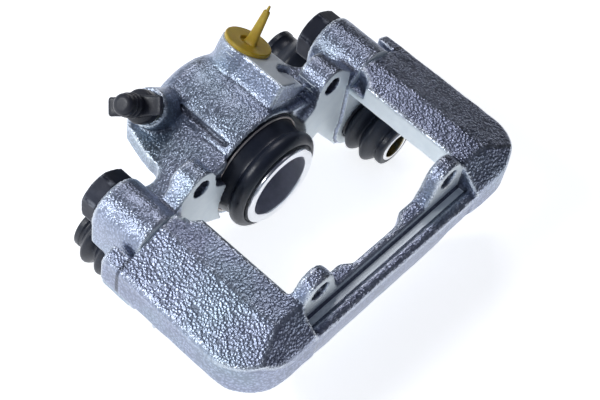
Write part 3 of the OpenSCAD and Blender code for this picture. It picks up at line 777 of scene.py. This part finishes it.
def rod_along(path, radius, steps=12):
    """A round rod along a path of points: rings square to the path, turned as little as can be from one to the
    next, with a point over each end."""
    path = np.asarray(path, float)
    heading = np.gradient(path, axis=0)
    heading /= np.linalg.norm(heading, axis=1)[:, None]
    first = np.empty_like(path)
    first[0] = frame_on(heading[0])[0]
    for i in range(1, len(path)):
        first[i] = first[i - 1] - heading[i] * (first[i - 1] @ heading[i])
        first[i] /= np.linalg.norm(first[i])
    second = np.cross(heading, first)
    angle = np.linspace(0, 2 * np.pi, steps, endpoint=False)
    radius = np.broadcast_to(np.asarray(radius, float), len(path))
    ring = np.cos(angle)[None, :, None] * first[:, None] + np.sin(angle)[None, :, None] * second[:, None]
    grid = path[:, None] + radius[:, None, None] * ring
    n, rows = len(path) * steps, len(path)
    row, col = np.arange(rows - 1)[:, None], np.arange(steps)[None, :]
    a, b = row * steps + col, row * steps + (col + 1) % steps
    faces = np.stack([a, b, b + steps, a + steps], axis=-1).reshape(-1, 4).tolist()
    ends = np.stack([path[0] - 0.4 * radius[0] * heading[0], path[-1] + 0.4 * radius[-1] * heading[-1]])
    faces += [[n, (k + 1) % steps, k] for k in range(steps)]
    faces += [[n + 1, n - steps + k, n - steps + (k + 1) % steps] for k in range(steps)]
    points = np.concatenate([grid.reshape(-1, 3), ends])
    return points, facing_out(points, faces)


ring_low, ring_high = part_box("boot_retaining_ring")
wire_r = (ring_high.x - ring_low.x) / 2
ring_r = ring_high.y - wire_r
ring_x = (ring_high.x + ring_low.x) / 2
gap_at = np.radians(232)
turn = np.linspace(gap_at + 0.03, gap_at + 2 * np.pi - 0.03, 200)
inward = 1 - 0.035 * np.exp(-((turn - turn[0]) / 0.03) ** 2) - 0.035 * np.exp(-((turn - turn[-1]) / 0.03) ** 2)
ring_path = np.stack([np.full(200, ring_x), ring_r * inward * np.cos(turn), ring_r * inward * np.sin(turn)], axis=1)
wire_metal = turned_steel("bright_spring_wire", 0.0, 0.0, (0.86, 0.79, 0.74, 1), (0.90, 0.80, 0.74, 1),
                          30 * MM, 0.0, 0.24, 0.30)
wire_points, wire_faces = rod_along(ring_path, wire_r, 14)
solid("boot_ring_wire", wire_points, wire_faces, "caliper", "ring_steel", wire_metal, ["boot_retaining_ring"])

# ------------------------------------------------------------------
# Piston seal and guide rings: square rubber rings in grooves inside the housing. They are hidden
# when the caliper is whole, so their CAD shapes stay, in wet-looking seal rubber.
# ------------------------------------------------------------------

seal_rubber = black_rubber("greased_seal_rubber", 0.0, 0.0, (0.020, 0.020, 0.022, 1), 0.16)
for node in ("piston_seal", "guide_ring_left", "guide_ring_right"):
    frame["nodes"][node].data.materials.clear()
    frame["nodes"][node].data.materials.append(seal_rubber)

# ------------------------------------------------------------------
# Guide sleeves: two turned steel tubes that slide in the housing's lower bores. Each has a
# groove near both ends for a bellows' collar, a bright faced end, and a film of assembly grease.
# ------------------------------------------------------------------


def greased_sleeve(name, centre_y, centre_z, bore_r):
    """Turned steel with fine rings outside, and amber grease smeared over the bore."""
    material, tree, surface = principled(name, 1.0)
    own = add(tree, "TexCoord").outputs["Object"]
    x, away, rings = lathe_rings(tree, own, centre_y, centre_z, 4000.0, 0.55)
    smear = noise(tree, own, 240.0, 4.0, 0.6, 1.2)
    bore = between(tree, away, bore_r + 0.0004, bore_r + 0.0001)
    amber = blended(tree, between(tree, smear, 0.40, 0.60), (0.36, 0.27, 0.10, 1), (0.22, 0.26, 0.25, 1))
    steel = blended(tree, between(tree, smear, 0.3, 0.7), (0.88, 0.88, 0.88, 1), (0.78, 0.79, 0.80, 1))
    gloss = between(tree, sums(tree, "ADD", rings, sums(tree, "MULTIPLY", bore, 0.1)), 0.3, 0.8, 0.2, 0.38)
    dress(tree, surface, blended(tree, bore, steel, amber), gloss, (rings, 0.35, 0.03 * MM), (smear, 0.25, 0.2 * MM))
    return material


sleeve_boxes = {side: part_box("guide_sleeve_" + side) for side in ("left", "right")}
SLEEVE_BORE, SLEEVE_R = 6 * MM, 8 * MM
for side, (low, high) in sleeve_boxes.items():
    y, z = (low.y + high.y) / 2, (low.z + high.z) / 2
    back, front, neck = low.x, high.x, SLEEVE_R - 1 * MM
    sleeve_line = rounded([
        (back, SLEEVE_BORE + 0.4 * MM), (back, SLEEVE_R - 0.4 * MM), (back + 0.4 * MM, SLEEVE_R),
        (back + 1.8 * MM, SLEEVE_R), (back + 2.2 * MM, neck), (back + 4 * MM, neck), (back + 4.4 * MM, SLEEVE_R),
        (front - 4.4 * MM, SLEEVE_R), (front - 4 * MM, neck), (front - 2.2 * MM, neck), (front - 1.8 * MM, SLEEVE_R),
        (front - 0.4 * MM, SLEEVE_R), (front, SLEEVE_R - 0.4 * MM), (front, SLEEVE_BORE + 0.4 * MM),
        (front - 0.4 * MM, SLEEVE_BORE), (back + 0.4 * MM, SLEEVE_BORE)], 0.15 * MM, steps=3)
    sleeve_points, sleeve_faces = turned(sleeve_line, (0, y, z), steps=112)
    solid("guide_sleeve_" + side + "_turned", sleeve_points, sleeve_faces, "sleeve_" + side, "sleeve_steel",
          greased_sleeve("greased_sleeve_steel_" + side, y, z, SLEEVE_BORE), ["guide_sleeve_" + side], flat_angle=50)

# ------------------------------------------------------------------
# Bellows: moulded rubber gaiters, one at each end of each sleeve. A foot sits in the housing,
# two deep folds take up the travel, and a collar grips the groove near the sleeve's end.
# ------------------------------------------------------------------


def bellows_line(foot_x, tip_x):
    """Outer line: a foot, two folds whose height follows a sine raised to the power 1.5, and a collar.
    Inner line: the same folds a wall's thickness lower."""
    toward = 1 if tip_x > foot_x else -1
    span = abs(tip_x - foot_x)
    fold_w = (span - 0.6 * MM) * 0.39
    t = np.linspace(0, 2, 61)
    outer = 10.3 * MM + 3.9 * MM * np.abs(np.sin(np.pi * t)) ** 1.5
    least = SLEEVE_R + 0.35 * MM
    inner = least + (np.maximum(outer - 1.3 * MM, least) - least) * np.sin(np.pi * t / 2) ** 0.25
    run = 0.6 * MM + t * fold_w
    foot = rounded(outline_from(0, (-2.3, 8.3), (-2.3, 10.8), (0.15, 10.8)), 0.3 * MM, closed=False)
    collar = rounded(outline_from(span, (-3.8, 10.2), (-3.4, 10.7), (-1.0, 10.7), (-0.3, 9.7), (-0.3, 8.1),
                                  (-2.0, 8.1), (-2.4, 7.2), (-3.8, 7.2), (-4.6, 8.3)), 0.35 * MM, closed=False)
    line = np.concatenate([foot, np.stack([run, outer], 1), collar, np.stack([run, inner], 1)[::-1]])
    line[:, 0] = foot_x + toward * line[:, 0]
    return line


for side, (low, high) in sleeve_boxes.items():
    y, z = (low.y + high.y) / 2, (low.z + high.z) / 2
    rubber = black_rubber("satin_bellows_rubber_" + side, y, z, (0.014, 0.018, 0.030, 1), 0.30)
    for end, foot_x, tip_x in (("front", joint_x, high.x), ("rear", -16 * MM, low.x)):
        bellows_points, bellows_faces = turned(bellows_line(foot_x, tip_x), (0, y, z), steps=112)
        gaiter = solid(end + "_bellows_" + side + "_moulded", bellows_points, bellows_faces, None, "bellows_rubber",
                       rubber, [end + "_bellows_" + side])
        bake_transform(gaiter)

# ------------------------------------------------------------------
# Bleed screw: turned from hexagon steel bar, drilled for the fluid and plated in yellow zinc. It
# screws into its boss, and its hexagon and hose nipple are hidden under the cap.
# ------------------------------------------------------------------

bleed_x = -43 * MM
bleed_base = np.array((bleed_x, 0, 0))
boss = 42 * MM


def screw_radius(angle, along, radius):
    """The hexagon's radius between its two faces, and the turned radius elsewhere."""
    on_hex = (along > boss + 1.95 * MM) & (along < boss + 7.05 * MM) & (radius > 3 * MM)
    return np.where(on_hex, np.minimum(radius, hexagon_radius(angle, 5 * MM)), radius)


thread = [(0.5 * k - 12, 4.9 if k % 2 else 4.45) for k in range(26)]
screw_line = outline_from(boss, (-13.8, 1.2), (-13.8, 3), *thread, (2, 4.6), (2, 5.1), (2.6, 5.75), (6.4, 5.75),
                          (7, 5.1), (7, 2.7), (11, 2.6), (11.1, 3.4), (13.2, 3.4), (16.2, 2.6), (16.2, 1.2))
screw_metal, tree, surface = principled("yellow_zinc_steel", 1.0)
smear = noise(tree, add(tree, "TexCoord").outputs["Object"], 420.0, 4.0, 0.6)
zinc = blended(tree, between(tree, smear, 0.35, 0.65), (0.66, 0.58, 0.36, 1), (0.60, 0.60, 0.50, 1))
dress(tree, surface, zinc, between(tree, smear, 0.3, 0.7, 0.26, 0.42), (smear, 0.3, 0.05 * MM))
screw_points, screw_faces = turned(rounded(screw_line, 0.18 * MM, steps=2), bleed_base, bleed_axis, steps=96,
                                   radius_at=screw_radius)
solid("bleed_screw_turned", screw_points, screw_faces, "bleed_screw", "bleed_steel", screw_metal, ["bleed_screw"],
      flat_angle=35)

# ------------------------------------------------------------------
# Bleed cap: a moulded rubber cap pushed over the nipple, with two grip ribs, a skirt over the
# hexagon, and two flat wings, the stubs of its pull strap.
# ------------------------------------------------------------------

top = boss + 22.5 * MM
cap_line = np.concatenate([
    outline_from(top, (0, 0), (-0.02, 2.6), (-0.45, 3.9), (-1.5, 4.7), (-4, 4.75), (-4.3, 5.25), (-5.3, 5.25),
                 (-5.6, 4.75), (-7, 4.75), (-7.3, 5.45), (-8.5, 5.45), (-8.8, 4.8)),
    outline_from(boss, (8.7, 4.8), (8, 6.9), (7.2, 7.5), (3, 7.5), (2.6, 7.1), (2.6, 6.1), (7.2, 6.1), (7.6, 3.5),
                 (17, 3.5), (17, 0))])
cap_rubber = black_rubber("satin_cap_rubber", 0.0, 0.0, (0.018, 0.020, 0.030, 1), 0.30)
cap_points, cap_faces = turned(rounded(cap_line, 0.4 * MM, closed=False), bleed_base, bleed_axis, steps=96)
solid("bleed_cap_moulded", cap_points, cap_faces, "bleed_cap", "cap_rubber", cap_rubber, ["bleed_cap"])


def pillow(half_length, half_width, half_height, rows=33, columns=65, square=5.0):
    """A block with rounded edges: a grid of directions on a ball, each stretched until the sum of its three
    coordinates' powers, over the half sizes, is one."""
    up = np.linspace(-np.pi / 2, np.pi / 2, rows)[1:-1]
    round_ = np.linspace(0, 2 * np.pi, columns, endpoint=False)
    a, b = np.meshgrid(up, round_, indexing="ij")
    ball = np.stack([np.cos(a) * np.cos(b), np.cos(a) * np.sin(b), np.sin(a)], axis=-1).reshape(-1, 3)
    ball = np.concatenate([ball, [(0, 0, -1.0), (0, 0, 1.0)]])
    size = np.array([half_length, half_width, half_height])
    stretch = (np.abs(ball) ** square).sum(1) ** (-1 / square)
    count = rows - 2
    row, col = np.arange(count - 1)[:, None], np.arange(columns)[None, :]
    low, next_low = row * columns + col, row * columns + (col + 1) % columns
    faces = np.stack([low, next_low, next_low + columns, low + columns], axis=-1).reshape(-1, 4).tolist()
    south, north, last = count * columns, count * columns + 1, (count - 1) * columns
    faces += [[south, (k + 1) % columns, k] for k in range(columns)]
    faces += [[north, last + k, last + (k + 1) % columns] for k in range(columns)]
    return ball * stretch[:, None] * size, faces


across_one = np.array((1.0, 0, 0))
across_two = np.cross(bleed_axis, across_one)
turn_by = np.radians(38)
strap_along = np.cos(turn_by) * across_one + np.sin(turn_by) * across_two
strap_across = np.cross(bleed_axis, strap_along)
wing_r = 12.5 * MM
wing, wing_faces = pillow(wing_r, 4.6 * MM, 1.4 * MM, columns=96, square=7.0)
far = np.abs(wing[:, 0]) / wing_r
wing[:, 1] *= 1 - 0.10 * step_up(far, 0.2, 0.6) + 0.12 * step_up(far, 0.8, 0.97)
wing[:, 2] += 0.45 * MM * step_up(far, 0.72, 0.98)
strap_base = bleed_base + (boss + 10.1 * MM) * bleed_axis
wing_points = strap_base + wing[:, :1] * strap_along + wing[:, 1:2] * strap_across + wing[:, 2:] * bleed_axis
solid("bleed_cap_wings", wing_points, facing_out(wing_points, wing_faces), "bleed_cap", "cap_rubber", cap_rubber,
      ["bleed_cap_strap"])

# ------------------------------------------------------------------
# Transport plug: an injection-moulded plug in mustard plastic that keeps dirt out of the hose
# port: a disc over the seat, a spigot in the thread, and a flat stem with its sprue left on.
# ------------------------------------------------------------------

plug_base = np.array((hose_x, 0, 0)) + HOSE_ASIDE * hose_side
seat = hose_top + 0.05 * MM
plug_disc = outline_from(seat, (-2.6, 0), (-2.6, 5.8), (-1.8, 6.4), (0, 6.4), (0, 10.7), (0.3, 11), (1.6, 11),
                         (2.0, 10.6), (1.9, 4.3), (1.7, 4.1), (0.6, 4.0), (0.5, 0))
plastic, tree, surface = principled("mustard_plastic", 0.0, Specular_IOR_Level=0.45,
                                    Subsurface_Weight=0.12, Subsurface_Scale=0.0012)
own = add(tree, "TexCoord").outputs["Object"]
flow = noise(tree, own, 120.0, 4.0, 0.55, 1.5)
mustard = blended(tree, between(tree, flow, 0.35, 0.65), (0.50, 0.33, 0.022, 1), (0.60, 0.42, 0.040, 1))
dress(tree, surface, mustard, between(tree, flow, 0.3, 0.7, 0.34, 0.46),
      (noise(tree, own, 1500.0, 2.0), 0.25, 0.05 * MM))
disc_points, disc_faces = turned(rounded(plug_disc, 0.4 * MM, closed=False), plug_base, hose_axis, steps=112)


def blade_radius(angle, along, radius):
    """An oval blade: wide along X and half as thick across, by a power mean of the two, and round at the sprue."""
    t = np.clip((along - seat) / (18 * MM), 0, 1)
    round_again = step_up(along, seat + 18.1 * MM, seat + 18.6 * MM)
    thick = radius * (0.52 + 0.30 * t + (0.18 - 0.30 * t + 0.30) * round_again)
    return ((np.abs(np.cos(angle)) / radius) ** 3 + (np.abs(np.sin(angle)) / thick) ** 3) ** (-1 / 3)


stem_t = np.linspace(0, 1, 40)
stem_side = np.stack([0.5 + 17.5 * stem_t, 1.5 + 1.25 * (1 - stem_t) + 1.3 * (1 - stem_t) ** 14], axis=1)
stem_line = outline_from(seat, (0.4, 0), *stem_side, (18.3, 1.3), (18.5, 0.7), (20.7, 0.5), (21, 0.3), (21, 0))
stem_points, stem_faces = turned(stem_line, plug_base + 1.2 * MM * np.array((1.0, 0, 0)), hose_axis, steps=96,
                                 radius_at=blade_radius)
plug_points = np.concatenate([disc_points, stem_points])
plug_faces = disc_faces + [[k + len(disc_points) for k in f] for f in stem_faces]
solid("transport_plug_moulded", plug_points, plug_faces, "transport_plug", "plug_plastic", plastic, ["transport_plug"],
      flat_angle=50)

# ------------------------------------------------------------------
# The finished caliper's box, found the same way as the CAD model's.
# ------------------------------------------------------------------

low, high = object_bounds()
